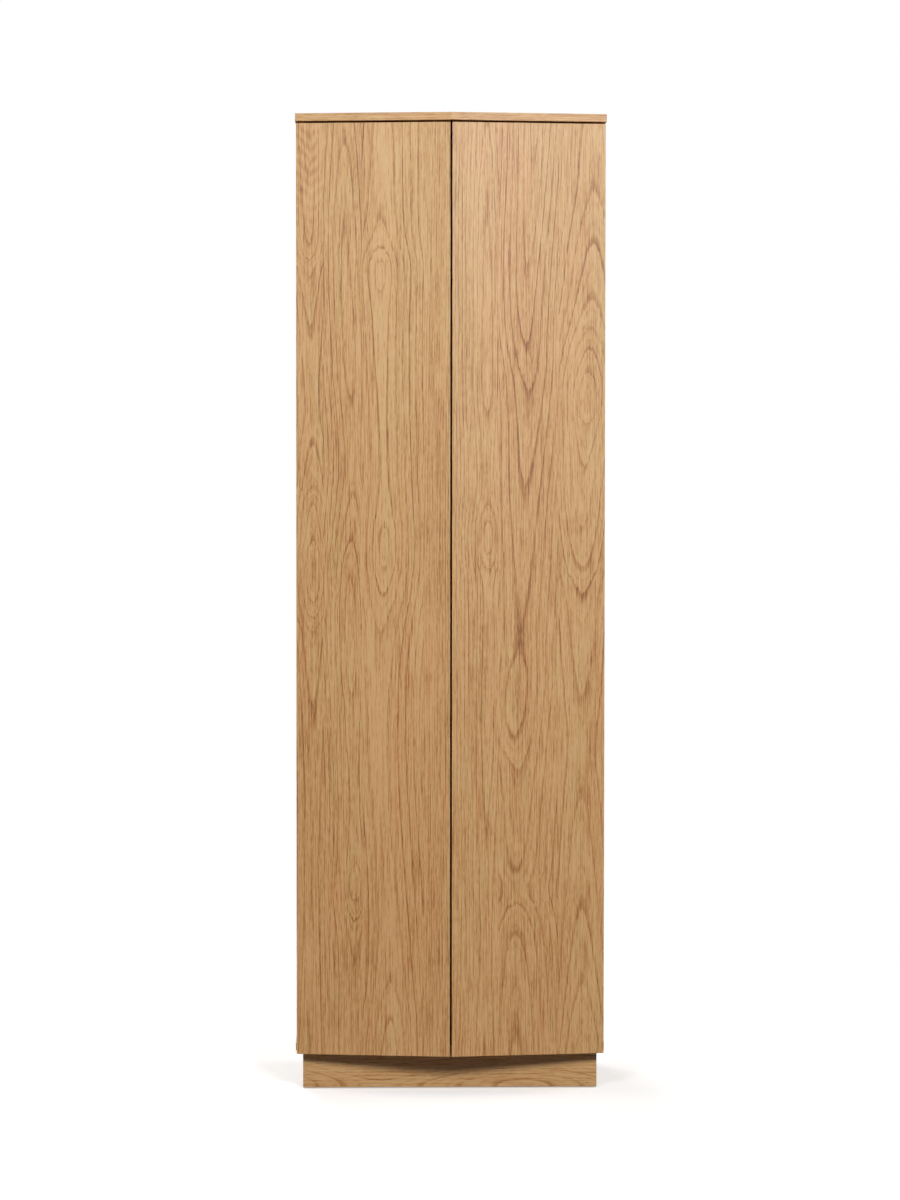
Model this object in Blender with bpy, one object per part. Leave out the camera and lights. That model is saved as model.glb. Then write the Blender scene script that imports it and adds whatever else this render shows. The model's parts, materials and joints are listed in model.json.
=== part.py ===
"""Pantry cabinet with a shallow V front, built as the separate pieces that it is assembled from.

Metres, +Z up. The origin is on the floor under the centre of the cabinet's outer box. The doors face
-Y, and +X is on the right of someone who stands in front of them.
"""

import math

import bmesh
import bpy

# Outer size
WIDTH = 0.640
HEIGHT = 2.015
DEPTH = 0.450
V_DEPTH = 0.045

# Boards
BOARD = 0.016
DOOR_BOARD = 0.018
BACK_BOARD = 0.004
TOUCH_GAP = 0.0003

# Gaps and overhangs
OVERHANG = 0.002
DOOR_TO_TOP = 0.004
DOOR_TO_DOOR = 0.004
DOOR_TO_CARCASS = 0.004
DOOR_BELOW_BOTTOM_PANEL = 0.0035

# Plinth and glides
PLINTH_HEIGHT = 0.080
PLINTH_HALF_WIDTH = 0.305
PLINTH_RECESS = 0.027
PLINTH_REAR_RECESS = 0.020
GLIDE_HEIGHT = 0.002
GLIDE_RADIUS = 0.007
GLIDE_END_DISTANCE = 0.035

# Back panels and their grooves
BACK_INSET = 0.012
GROOVE_DEPTH = 0.0063
PANEL_IN_GROOVE = 0.006
STRIP_SKIN = 0.0011
STRIP_WEB = 0.0012
STRIP_HALF_HEIGHT = 0.009

# Shelves
SHELF_COUNT = 5
FIXED_SHELF_NUMBER = 3
SHELF_SETBACK = 0.013
SHELF_SIDE_CLEARANCE = 0.0015
SHELF_BACK_CLEARANCE = 0.002

# Concealed hinges. The door frame has its origin on the pivot, x towards the cabinet's centre and
# y towards its back, square to the shut door.
HINGE_END_DISTANCE = 0.100
HINGE_MIDDLE_DISTANCE = 0.250
PIVOT_FROM_EDGE = 0.0075
PIVOT_FROM_REAR = 0.0095
CUP_RADIUS = 0.0175
CUP_INNER_RADIUS = 0.01665
CUP_TO_EDGE = 0.003
CUP_DEPTH = 0.0135
CUP_FLOOR = 0.0008
CUP_FLANGE = 0.0012
# Upper half of the screw flange, as distances from the cup's centre
CUP_FLANGE_OUTLINE = (
    (-0.0175, 0.0170),
    (-0.0020, 0.0190),
    (-0.0010, 0.0280),
    (0.0145, 0.0280),
    (0.0165, 0.0200),
)
EAR_LOW = 0.0043
EAR_HIGH = 0.0063
EAR_OUTWARD = 0.0029
EAR_INWARD = 0.0034
EAR_TOP = 0.0030
PIN_RADIUS = 0.0015
PIN_CLEARANCE = 0.0002
KNUCKLE_RADIUS = 0.0029
ARM_HALF_HEIGHT = 0.004
ARM_THICKNESS = 0.0025
ARM_BODY_THICKNESS = 0.004
ARM_BODY_HALF_HEIGHT = 0.006
ARM_BODY_AHEAD = 0.020
ARM_BODY_BEHIND = 0.021
ARM_NECK_OVERLAP = 0.002
ARM_ELBOWS = ((0.0, 0.0), (0.0190, 0.0008), (0.0230, 0.0130))
PLATE_FROM_FRONT = 0.037
PLATE_THICKNESS = 0.002
PLATE_HALF_LENGTH = 0.023
PLATE_FOOT_HALF_HEIGHT = 0.007
PLATE_WING_HALF_LENGTH = 0.006
PLATE_WING_HALF_HEIGHT = 0.025
PLATE_SCREW_SPACING = 0.032
PLATE_SCREW_HOLE_RADIUS = 0.0026
BOSS_HEIGHT = 0.004
BOSS_HALF_LENGTH = 0.019
BOSS_HALF_HEIGHT = 0.005

# Push-to-open latches
LATCH_FROM_CENTRE = 0.045
LATCH_BELOW_DOOR_TOP = 0.009
LATCH_WIDTH = 0.016
LATCH_HEIGHT = 0.020
LATCH_LENGTH = 0.066
LATCH_BORE_DEPTH = 0.052
PLUNGER_RADIUS = 0.004
PLUNGER_LENGTH = 0.046
PLUNGER_TO_STRIKE = 0.0004
STRIKE_HALF_SIZE = 0.007
STRIKE_THICKNESS = 0.001

# Wall brackets
BRACKET_FROM_CENTRE = 0.200
BRACKET_WIDTH = 0.040
BRACKET_TOP_LEG = 0.022
BRACKET_WALL_LEG = 0.034
BRACKET_THICKNESS = 0.002

# Derived places
HALF_WIDTH = WIDTH / 2
REAR = DEPTH / 2
FRONT_APEX = -DEPTH / 2
FRONT_ANGLE = math.atan2(V_DEPTH, HALF_WIDTH)
COS = math.cos(FRONT_ANGLE)
SIN = math.sin(FRONT_ANGLE)
SIDE_OUTER = HALF_WIDTH - OVERHANG
SIDE_INNER = SIDE_OUTER - BOARD
TOP_UNDERSIDE = HEIGHT - BOARD
FLOOR_LEVEL = PLINTH_HEIGHT + BOARD
DOOR_BOTTOM = PLINTH_HEIGHT - DOOR_BELOW_BOTTOM_PANEL
DOOR_TOP = TOP_UNDERSIDE - DOOR_TO_TOP
DOOR_MIDDLE = (DOOR_BOTTOM + DOOR_TOP) / 2
DOOR_FRONT_Y = FRONT_APEX + V_DEPTH + OVERHANG
PIVOT_FROM_FRONT = DOOR_BOARD - PIVOT_FROM_REAR
PIVOT_X = SIDE_OUTER - PIVOT_FROM_EDGE * COS - PIVOT_FROM_FRONT * SIN
PIVOT_Y = DOOR_FRONT_Y - PIVOT_FROM_EDGE * SIN + PIVOT_FROM_FRONT * COS
CUP_CENTRE = CUP_TO_EDGE + CUP_RADIUS - PIVOT_FROM_EDGE
BACK_REAR = REAR - BACK_INSET
BACK_FRONT = BACK_REAR - BACK_BOARD
GROOVE_FRONT = BACK_FRONT - TOUCH_GAP
GROOVE_REAR = BACK_REAR + TOUCH_GAP
SHELF_PITCH = (TOP_UNDERSIDE - FLOOR_LEVEL + BOARD) / (SHELF_COUNT + 1)
HINGE_HEIGHTS = (
    DOOR_BOTTOM + HINGE_END_DISTANCE,
    DOOR_MIDDLE - HINGE_MIDDLE_DISTANCE,
    DOOR_MIDDLE + HINGE_MIDDLE_DISTANCE,
    DOOR_TOP - HINGE_END_DISTANCE,
)
LATCH_Z = DOOR_TOP - LATCH_BELOW_DOOR_TOP
PLATE_FACE = SIDE_INNER - TOUCH_GAP
BOSS_FACE = PLATE_FACE - PLATE_THICKNESS - BOSS_HEIGHT
ARM_BODY_OUTER = BOSS_FACE - TOUCH_GAP
ARM_BODY_MIDDLE = ARM_BODY_OUTER - ARM_BODY_THICKNESS / 2

# For each side: its name, and the X direction from that side to the centre
SIDES = (("left", 1), ("right", -1))


def carcass_front(distance):
    """Y of the carcass's front edge, behind the shut doors, at this distance from the centre plane."""
    rear_corner_x = SIDE_OUTER - DOOR_BOARD * SIN
    rear_corner_y = DOOR_FRONT_Y + DOOR_BOARD * COS
    slope = V_DEPTH / HALF_WIDTH
    return rear_corner_y + DOOR_TO_CARCASS / COS - (rear_corner_x - distance) * slope


def to_plan(point, inward):
    """World X and Y of a point of the shut door's frame."""
    along, back = point
    x = -PIVOT_X + along * COS + back * SIN
    y = PIVOT_Y - along * SIN + back * COS
    return (inward * x, y)


# Mesh helpers


def circle(centre, radius, sides):
    step = 2 * math.pi / sides
    return [
        (centre[0] + radius * math.cos(i * step), centre[1] + radius * math.sin(i * step))
        for i in range(sides)
    ]


def rectangle(x_low, x_high, y_low, y_high):
    return [(x_low, y_low), (x_high, y_low), (x_high, y_high), (x_low, y_high)]


def flipped(outline, inward):
    return [(inward * x, y) for x, y in outline]


def prism(outline, low, high, axis="Z"):
    """A mesh of this flat outline drawn out along one axis, from low to high."""
    spots = {
        "X": lambda a, b, along: (along, a, b),
        "Y": lambda a, b, along: (a, along, b),
        "Z": lambda a, b, along: (a, b, along),
    }
    spot = spots[axis]
    shape = bmesh.new()
    bottom = [shape.verts.new(spot(a, b, low)) for a, b in outline]
    top = [shape.verts.new(spot(a, b, high)) for a, b in outline]
    shape.faces.new(bottom)
    shape.faces.new(top)
    for i in range(len(outline)):
        j = (i + 1) % len(outline)
        shape.faces.new((bottom[i], bottom[j], top[j], top[i]))
    bmesh.ops.recalc_face_normals(shape, faces=shape.faces)
    mesh = bpy.data.meshes.new("prism")
    shape.to_mesh(mesh)
    shape.free()
    return mesh


def helper_object(mesh):
    helper = bpy.data.objects.new("helper", mesh)
    bpy.context.scene.collection.objects.link(helper)
    helper.hide_render = True
    helper.display_type = "WIRE"
    return helper


def carved(added, removed=()):
    """One mesh of the added meshes joined together, less the removed ones."""
    base = helper_object(added[0])
    helpers = [base]
    steps = [("UNION", mesh) for mesh in added[1:]] + [("DIFFERENCE", mesh) for mesh in removed]
    for operation, mesh in steps:
        helper = helper_object(mesh)
        helpers.append(helper)
        boolean = base.modifiers.new(operation, "BOOLEAN")
        boolean.operation = operation
        boolean.object = helper
    graph = bpy.context.evaluated_depsgraph_get()
    result = bpy.data.meshes.new_from_object(base.evaluated_get(graph))
    for helper in helpers:
        bpy.data.objects.remove(helper)
    return result


def ribbon(points, thickness, head_radius):
    """The outline of a bent strip along these points, with a round head on the first one."""
    half = thickness / 2
    left_edge = []
    right_edge = []
    for i in range(1, len(points)):
        before = unit(points[i - 1], points[i])
        after = unit(points[i], points[i + 1]) if i + 1 < len(points) else before
        mean = ((before[0] + after[0]) / 2, (before[1] + after[1]) / 2)
        reach = half / (mean[0] ** 2 + mean[1] ** 2)
        left_edge.append((points[i][0] - mean[1] * reach, points[i][1] + mean[0] * reach))
        right_edge.append((points[i][0] + mean[1] * reach, points[i][1] - mean[0] * reach))
    start = unit(points[0], points[1])
    heading = math.atan2(start[1], start[0])
    gap = math.asin(half / head_radius)
    steps = 12
    head = []
    for i in range(steps + 1):
        turn = heading + gap + (2 * math.pi - 2 * gap) * i / steps
        x = points[0][0] + head_radius * math.cos(turn)
        y = points[0][1] + head_radius * math.sin(turn)
        head.append((x, y))
    return left_edge[::-1] + head + right_edge


def unit(start, end):
    dx = end[0] - start[0]
    dy = end[1] - start[1]
    length = math.hypot(dx, dy)
    return (dx / length, dy / length)


def make_material(name, colour, roughness, metallic=0.0):
    material = bpy.data.materials.new(name)
    material.use_nodes = True
    shader = material.node_tree.nodes["Principled BSDF"]
    shader.inputs["Base Color"].default_value = (*colour, 1.0)
    shader.inputs["Roughness"].default_value = roughness
    shader.inputs["Metallic"].default_value = metallic
    material.diffuse_color = (*colour, 1.0)
    return material


def place(name, mesh, material, height=0.0, parent=None):
    """A named piece with its own material slot, at this height in its parent's frame."""
    piece = bpy.data.objects.new(name, mesh)
    bpy.context.scene.collection.objects.link(piece)
    if not mesh.materials:
        mesh.materials.append(material)
    piece.location.z = height
    piece.parent = parent
    return piece


def smooth(mesh):
    mesh.shade_smooth()
    mesh.set_sharp_from_angle(angle=math.radians(30))
    return mesh


# Carcass


def back_groove(low, high):
    """The cut for the back panels across the inner face of the top or bottom panel."""
    half = SIDE_INNER + GROOVE_DEPTH
    return prism(rectangle(-half, half, GROOVE_FRONT, GROOVE_REAR), low, high)


def top_panel(oak):
    outline = [
        (-HALF_WIDTH, REAR),
        (-HALF_WIDTH, FRONT_APEX + V_DEPTH),
        (0.0, FRONT_APEX),
        (HALF_WIDTH, FRONT_APEX + V_DEPTH),
        (HALF_WIDTH, REAR),
    ]
    board = prism(outline, TOP_UNDERSIDE, HEIGHT)
    groove = back_groove(TOP_UNDERSIDE - BOARD, TOP_UNDERSIDE + GROOVE_DEPTH)
    place("top_panel", carved([board], [groove]), oak)


def bottom_panel(oak):
    outline = [
        (-HALF_WIDTH, REAR),
        (-HALF_WIDTH, carcass_front(HALF_WIDTH)),
        (0.0, carcass_front(0.0)),
        (HALF_WIDTH, carcass_front(HALF_WIDTH)),
        (HALF_WIDTH, REAR),
    ]
    board = prism(outline, PLINTH_HEIGHT, FLOOR_LEVEL)
    groove = back_groove(FLOOR_LEVEL - GROOVE_DEPTH, FLOOR_LEVEL + BOARD)
    place("bottom_panel", carved([board], [groove]), oak)


def side_panel(name, inward, oak):
    """A side board with its front edge bevelled to the door's slope, and a groove for the back."""
    outline = [
        (-SIDE_OUTER, REAR),
        (-SIDE_OUTER, carcass_front(SIDE_OUTER)),
        (-SIDE_INNER, carcass_front(SIDE_INNER)),
        (-SIDE_INNER, GROOVE_FRONT),
        (-SIDE_INNER - GROOVE_DEPTH, GROOVE_FRONT),
        (-SIDE_INNER - GROOVE_DEPTH, GROOVE_REAR),
        (-SIDE_INNER, GROOVE_REAR),
        (-SIDE_INNER, REAR),
    ]
    low = FLOOR_LEVEL + TOUCH_GAP
    high = TOP_UNDERSIDE - TOUCH_GAP
    place(f"side_panel_{name}", prism(flipped(outline, inward), low, high), oak)


def shelves(oak):
    """Five shelves at an equal pitch: the middle one fixed, the others on pins."""
    front = carcass_front(SIDE_OUTER) + SHELF_SETBACK
    adjustable = 0
    for number in range(1, SHELF_COUNT + 1):
        low = FLOOR_LEVEL + number * SHELF_PITCH - BOARD
        if number == FIXED_SHELF_NUMBER:
            name = "fixed_shelf"
            half = SIDE_INNER - TOUCH_GAP
            rear = GROOVE_FRONT - STRIP_SKIN - TOUCH_GAP
        else:
            adjustable += 1
            name = f"adjustable_shelf_{adjustable}"
            half = SIDE_INNER - SHELF_SIDE_CLEARANCE
            rear = BACK_FRONT - SHELF_BACK_CLEARANCE
        place(name, prism(rectangle(-half, half, front, rear), low, low + BOARD), oak)


def back_panels(back_veneer, plastic):
    """Two thin panels in the grooves, and the H-shaped strip that joins them behind the fixed shelf."""
    joint = FLOOR_LEVEL + FIXED_SHELF_NUMBER * SHELF_PITCH - BOARD / 2
    half = SIDE_INNER + PANEL_IN_GROOVE
    outline = rectangle(-half, half, BACK_FRONT, BACK_REAR)
    edge = STRIP_WEB / 2 + TOUCH_GAP
    lower = prism(outline, FLOOR_LEVEL - PANEL_IN_GROOVE, joint - edge)
    upper = prism(outline, joint + edge, TOP_UNDERSIDE + PANEL_IN_GROOVE)
    place("back_panel_lower", lower, back_veneer)
    place("back_panel_upper", upper, back_veneer)
    front = GROOVE_FRONT - STRIP_SKIN
    rear = GROOVE_REAR + STRIP_SKIN
    web = STRIP_WEB / 2
    profile = [
        (front, joint - STRIP_HALF_HEIGHT),
        (GROOVE_FRONT, joint - STRIP_HALF_HEIGHT),
        (GROOVE_FRONT, joint - web),
        (GROOVE_REAR, joint - web),
        (GROOVE_REAR, joint - STRIP_HALF_HEIGHT),
        (rear, joint - STRIP_HALF_HEIGHT),
        (rear, joint + STRIP_HALF_HEIGHT),
        (GROOVE_REAR, joint + STRIP_HALF_HEIGHT),
        (GROOVE_REAR, joint + web),
        (GROOVE_FRONT, joint + web),
        (GROOVE_FRONT, joint + STRIP_HALF_HEIGHT),
        (front, joint + STRIP_HALF_HEIGHT),
    ]
    strip_half = SIDE_INNER - TOUCH_GAP
    place("back_joining_strip", prism(profile, -strip_half, strip_half, "X"), plastic)


def plinth(oak):
    """Four boards under the bottom panel: the front one covers the ends of the side ones."""
    low = GLIDE_HEIGHT + TOUCH_GAP
    high = PLINTH_HEIGHT - TOUCH_GAP
    front = DOOR_FRONT_Y + PLINTH_RECESS
    rear = REAR - PLINTH_REAR_RECESS
    half = PLINTH_HALF_WIDTH
    front_board = rectangle(-half, half, front, front + BOARD)
    rear_board = rectangle(-half, half, rear - BOARD, rear)
    place("plinth_front", prism(front_board, low, high), oak)
    place("plinth_rear", prism(rear_board, low, high), oak)
    side_front = front + BOARD + TOUCH_GAP
    side_rear = rear - BOARD - TOUCH_GAP
    side_board = rectangle(-half, -half + BOARD, side_front, side_rear)
    for name, inward in SIDES:
        place(f"plinth_{name}", prism(flipped(side_board, inward), low, high), oak)


def glides(plastic):
    """Nail-on glides under the ends of the plinth's side boards."""
    ends = (
        ("front", DOOR_FRONT_Y + PLINTH_RECESS + BOARD + GLIDE_END_DISTANCE),
        ("rear", REAR - PLINTH_REAR_RECESS - BOARD - GLIDE_END_DISTANCE),
    )
    for end, y in ends:
        for name, inward in SIDES:
            x = -inward * (PLINTH_HALF_WIDTH - BOARD / 2)
            disc = prism(circle((x, y), GLIDE_RADIUS, 20), 0.0, GLIDE_HEIGHT)
            place(f"glide_{end}_{name}", smooth(disc), plastic)


def wall_brackets(steel):
    """Steel angles under the top panel, through which the cabinet is screwed to the wall."""
    top = TOP_UNDERSIDE - TOUCH_GAP
    wall = GROOVE_FRONT
    profile = [
        (wall, top),
        (wall - BRACKET_TOP_LEG, top),
        (wall - BRACKET_TOP_LEG, top - BRACKET_THICKNESS),
        (wall - BRACKET_THICKNESS, top - BRACKET_THICKNESS),
        (wall - BRACKET_THICKNESS, top - BRACKET_WALL_LEG),
        (wall, top - BRACKET_WALL_LEG),
    ]
    for name, inward in SIDES:
        centre = -inward * BRACKET_FROM_CENTRE
        mesh = prism(profile, centre - BRACKET_WIDTH / 2, centre + BRACKET_WIDTH / 2, "X")
        place(f"wall_bracket_{name}", mesh, steel)


# Hinges


def hinge_plate_mesh(inward):
    """A winged plate against the side panel, with a raised middle that the arm clips on to."""
    middle = carcass_front(SIDE_INNER) + PLATE_FROM_FRONT
    ends = (middle - PLATE_HALF_LENGTH, middle + PLATE_HALF_LENGTH)
    wing = (middle - PLATE_WING_HALF_LENGTH, middle + PLATE_WING_HALF_LENGTH)
    foot = PLATE_FOOT_HALF_HEIGHT
    tip = PLATE_WING_HALF_HEIGHT
    outline = [
        (ends[0], -foot),
        (wing[0], -foot),
        (wing[0], -tip),
        (wing[1], -tip),
        (wing[1], -foot),
        (ends[1], -foot),
        (ends[1], foot),
        (wing[1], foot),
        (wing[1], tip),
        (wing[0], tip),
        (wing[0], foot),
        (ends[0], foot),
    ]
    base = prism(outline, -inward * PLATE_FACE, -inward * (PLATE_FACE - PLATE_THICKNESS), "X")
    boss_ends = (middle - BOSS_HALF_LENGTH, middle + BOSS_HALF_LENGTH)
    boss_outline = rectangle(*boss_ends, -BOSS_HALF_HEIGHT, BOSS_HALF_HEIGHT)
    boss = prism(boss_outline, -inward * (PLATE_FACE - PLATE_THICKNESS / 2), -inward * BOSS_FACE, "X")
    holes = []
    for end in (-1, 1):
        spot = (middle, end * PLATE_SCREW_SPACING / 2)
        outline = circle(spot, PLATE_SCREW_HOLE_RADIUS, 10)
        holes.append(prism(outline, -inward * SIDE_OUTER, -inward * BOSS_FACE, "X"))
    return carved([base, boss], holes)


def hinge_arm_mesh(inward):
    """A goose-necked arm: knuckle and pin in the door's cup, and a flat body over the plate."""
    middle = carcass_front(SIDE_INNER) + PLATE_FROM_FRONT
    body_front = middle - ARM_BODY_AHEAD
    body_rear = middle + ARM_BODY_BEHIND
    route = [to_plan(point, 1) for point in ARM_ELBOWS]
    route.append((-ARM_BODY_MIDDLE, body_front + ARM_NECK_OVERLAP))
    route.append((-ARM_BODY_MIDDLE, body_rear - ARM_NECK_OVERLAP))
    outline = flipped(ribbon(route, ARM_THICKNESS, KNUCKLE_RADIUS), inward)
    neck = prism(outline, -ARM_HALF_HEIGHT, ARM_HALF_HEIGHT)
    pivot = (-inward * PIVOT_X, PIVOT_Y)
    pin_end = EAR_HIGH - TOUCH_GAP
    pin = prism(circle(pivot, PIN_RADIUS, 12), -pin_end, pin_end)
    body_outline = rectangle(body_front, body_rear, -ARM_BODY_HALF_HEIGHT, ARM_BODY_HALF_HEIGHT)
    body_inner = ARM_BODY_OUTER - ARM_BODY_THICKNESS
    body = prism(body_outline, -inward * ARM_BODY_OUTER, -inward * body_inner, "X")
    return smooth(carved([neck, pin, body]))


def hinge_cup_mesh(inward):
    """A round cup with a screw flange, and two ears inside it that hold the arm's pin."""
    rear = PIVOT_FROM_REAR
    flange_low = rear + TOUCH_GAP
    flange_high = flange_low + CUP_FLANGE
    floor = flange_low - CUP_DEPTH
    centre = (inward * CUP_CENTRE, 0.0)
    shell = prism(circle(centre, CUP_RADIUS, 32), floor, flange_low + CUP_FLANGE / 2, "Y")
    upper = [(CUP_CENTRE + along, height) for along, height in CUP_FLANGE_OUTLINE]
    lower = [(along, -height) for along, height in upper]
    flange = prism(flipped(upper + lower[::-1], inward), flange_low, flange_high, "Y")
    hollow_outline = circle(centre, CUP_INNER_RADIUS, 32)
    hollow = prism(hollow_outline, floor + CUP_FLOOR, flange_high + CUP_FLANGE, "Y")
    ears = []
    for end in (-1, 1):
        ear_outline = rectangle(-EAR_OUTWARD, EAR_INWARD, floor + CUP_FLOOR / 2, EAR_TOP)
        ear = prism(flipped(ear_outline, inward), end * EAR_LOW, end * EAR_HIGH)
        ears.append(ear)
    pin_hole = prism(circle((0.0, 0.0), PIN_RADIUS + PIN_CLEARANCE, 16), -EAR_HIGH, EAR_HIGH)
    cup = carved([shell, flange], [hollow])
    return smooth(carved([carved([cup] + ears)], [pin_hole]))


def hinges_on_carcass(name, inward, steel):
    plate = hinge_plate_mesh(inward)
    arm = hinge_arm_mesh(inward)
    for number, height in enumerate(HINGE_HEIGHTS, start=1):
        place(f"hinge_plate_{name}_{number}", plate, steel, height)
        place(f"hinge_arm_{name}_{number}", arm, steel, height)


# Doors


def meeting_edge(back):
    """Distance along the door's frame from the pivot to the meeting edge, at this depth."""
    return (PIVOT_X - DOOR_TO_DOOR / 2 - back * SIN) / COS


def door_mesh(inward):
    """A plain slab: its outer edge is square, and its meeting edge is cut parallel to the centre plane."""
    front = -PIVOT_FROM_FRONT
    rear = PIVOT_FROM_REAR
    outline = [
        (-PIVOT_FROM_EDGE, front),
        (meeting_edge(front), front),
        (meeting_edge(rear), rear),
        (-PIVOT_FROM_EDGE, rear),
    ]
    slab = prism(flipped(outline, inward), DOOR_BOTTOM, DOOR_TOP)
    bores = []
    bore_floor = rear - CUP_DEPTH
    for height in HINGE_HEIGHTS:
        spot = (inward * CUP_CENTRE, height)
        outline = circle(spot, CUP_RADIUS + TOUCH_GAP, 32)
        bores.append(prism(outline, bore_floor, rear + CUP_DEPTH, "Y"))
    return carved([slab], bores)


def latch_along():
    """Distance along the door's frame from the pivot to the latch's axis, at the door's rear face."""
    return (PIVOT_X - LATCH_FROM_CENTRE - PIVOT_FROM_REAR * SIN) / COS


def door(name, inward, oak, steel):
    """The slab with its hinge cups and its strike plate, all on an empty at the hinge axis."""
    axis = bpy.data.objects.new(f"hinge_axis_{name}", None)
    bpy.context.scene.collection.objects.link(axis)
    axis.location = (-inward * PIVOT_X, PIVOT_Y, 0.0)
    axis.rotation_euler.z = -inward * FRONT_ANGLE
    place(f"door_{name}", door_mesh(inward), oak, parent=axis)
    cup = hinge_cup_mesh(inward)
    for number, height in enumerate(HINGE_HEIGHTS, start=1):
        place(f"hinge_cup_{name}_{number}", cup, steel, height, axis)
    middle = inward * latch_along()
    half = STRIKE_HALF_SIZE
    outline = rectangle(middle - half, middle + half, LATCH_Z - half, LATCH_Z + half)
    low = PIVOT_FROM_REAR + TOUCH_GAP
    place(f"strike_plate_{name}", prism(outline, low, low + STRIKE_THICKNESS, "Y"), steel, parent=axis)


# Latches


def latch(name, inward, housing_plastic, plunger_plastic):
    """A housing under the top panel, and the sprung plunger that slides in its bore."""
    axis = bpy.data.objects.new(f"latch_axis_{name}", None)
    bpy.context.scene.collection.objects.link(axis)
    axis.location = (*to_plan((latch_along(), PIVOT_FROM_REAR), inward), LATCH_Z)
    axis.rotation_euler.z = -inward * FRONT_ANGLE
    tip = TOUCH_GAP + STRIKE_THICKNESS + PLUNGER_TO_STRIKE
    front = DOOR_TO_CARCASS + TOUCH_GAP
    top = TOP_UNDERSIDE - TOUCH_GAP - LATCH_Z
    half = LATCH_WIDTH / 2
    block_outline = rectangle(-half, half, top - LATCH_HEIGHT, top)
    block = prism(block_outline, front, front + LATCH_LENGTH, "Y")
    bore_outline = circle((0.0, 0.0), PLUNGER_RADIUS + TOUCH_GAP, 24)
    bore = prism(bore_outline, front - LATCH_WIDTH, front + LATCH_BORE_DEPTH, "Y")
    housing = smooth(carved([block], [bore]))
    place(f"latch_housing_{name}", housing, housing_plastic, parent=axis)
    rod = prism(circle((0.0, 0.0), PLUNGER_RADIUS, 20), tip, tip + PLUNGER_LENGTH, "Y")
    place(f"latch_plunger_{name}", smooth(rod), plunger_plastic, parent=axis)


def main():
    for old in list(bpy.data.objects):
        bpy.data.objects.remove(old)
    oak = make_material("oak_veneer", (0.62, 0.42, 0.23), 0.45)
    oak_inside = make_material("oak_veneer_inside", (0.64, 0.45, 0.26), 0.50)
    back_veneer = make_material("back_veneer", (0.60, 0.43, 0.26), 0.60)
    steel = make_material("nickelled_steel", (0.72, 0.72, 0.71), 0.25, 1.0)
    clear_plastic = make_material("natural_plastic", (0.72, 0.70, 0.64), 0.50)
    grey_plastic = make_material("grey_plastic", (0.35, 0.35, 0.36), 0.45)
    top_panel(oak)
    bottom_panel(oak)
    shelves(oak_inside)
    back_panels(back_veneer, clear_plastic)
    plinth(oak)
    glides(clear_plastic)
    wall_brackets(steel)
    for name, inward in SIDES:
        side_panel(name, inward, oak)
        hinges_on_carcass(name, inward, steel)
        door(name, inward, oak, steel)
        latch(name, inward, grey_plastic, clear_plastic)


main()
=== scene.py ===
"""Looks for the pantry cabinet: oak veneer, hardware details, soft studio light and the camera.

Metres, +Z up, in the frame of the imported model. The doors face -Y, and +X is on the viewer's right.
"""

import json
import math

import bmesh
import bpy
from mathutils import Matrix, Vector

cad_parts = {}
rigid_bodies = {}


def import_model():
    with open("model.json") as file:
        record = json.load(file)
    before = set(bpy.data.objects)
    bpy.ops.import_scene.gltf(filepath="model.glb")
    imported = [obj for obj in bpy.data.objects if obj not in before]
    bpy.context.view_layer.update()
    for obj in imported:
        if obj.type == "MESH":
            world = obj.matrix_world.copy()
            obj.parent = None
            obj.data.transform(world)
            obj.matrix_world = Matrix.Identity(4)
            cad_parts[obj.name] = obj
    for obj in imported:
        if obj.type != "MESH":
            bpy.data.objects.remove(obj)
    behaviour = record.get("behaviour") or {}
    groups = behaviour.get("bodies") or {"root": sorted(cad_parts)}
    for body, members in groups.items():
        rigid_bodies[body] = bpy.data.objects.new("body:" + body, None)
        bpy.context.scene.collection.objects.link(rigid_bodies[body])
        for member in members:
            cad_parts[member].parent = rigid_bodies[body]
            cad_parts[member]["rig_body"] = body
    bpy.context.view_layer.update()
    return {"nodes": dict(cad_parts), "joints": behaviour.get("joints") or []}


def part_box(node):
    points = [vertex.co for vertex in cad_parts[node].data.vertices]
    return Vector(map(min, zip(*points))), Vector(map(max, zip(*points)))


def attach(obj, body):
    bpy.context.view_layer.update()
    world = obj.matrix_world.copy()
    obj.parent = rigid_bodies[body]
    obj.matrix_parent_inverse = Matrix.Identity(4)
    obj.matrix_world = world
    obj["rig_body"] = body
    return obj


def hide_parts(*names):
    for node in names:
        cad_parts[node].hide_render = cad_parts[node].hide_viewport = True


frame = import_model()
nodes = frame["nodes"]

# For each side: its name, and the X direction from that side to the centre
SIDES = (("left", 1), ("right", -1))
HINGES = (1, 2, 3, 4)
ADJUSTABLE_SHELVES = (1, 2, 3, 4)

# Places that come from the frame
JOINTS = {joint["name"]: joint for joint in frame["joints"]}
PIVOT = Vector(JOINTS["door_right_hinge"]["pos_m"])
LATCH_AXIS = JOINTS["latch_plunger_right_slide"]["axis"]
FRONT_ANGLE = math.atan2(LATCH_AXIS[0], -LATCH_AXIS[1])
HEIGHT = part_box("top_panel")[1].z
TOP_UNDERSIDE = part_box("top_panel")[0].z
SIDE_INNER = -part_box("side_panel_left")[1].x
DOOR_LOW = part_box("door_right")[0]

# Shelf pins, and the rows of holes that they go in
PIN_HOLE_RADIUS = 0.0025
PIN_HOLE_DEPTH = 0.010
PIN_HOLE_PITCH = 0.032
PIN_HOLE_BELOW_SHELF = 0.0003
HOLES_EACH_WAY = 2
NO_HOLE_NEAR_HINGE = 0.029
REAR_ROW_FROM_BACK = 0.050
PIN_REACH = 0.009

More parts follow.
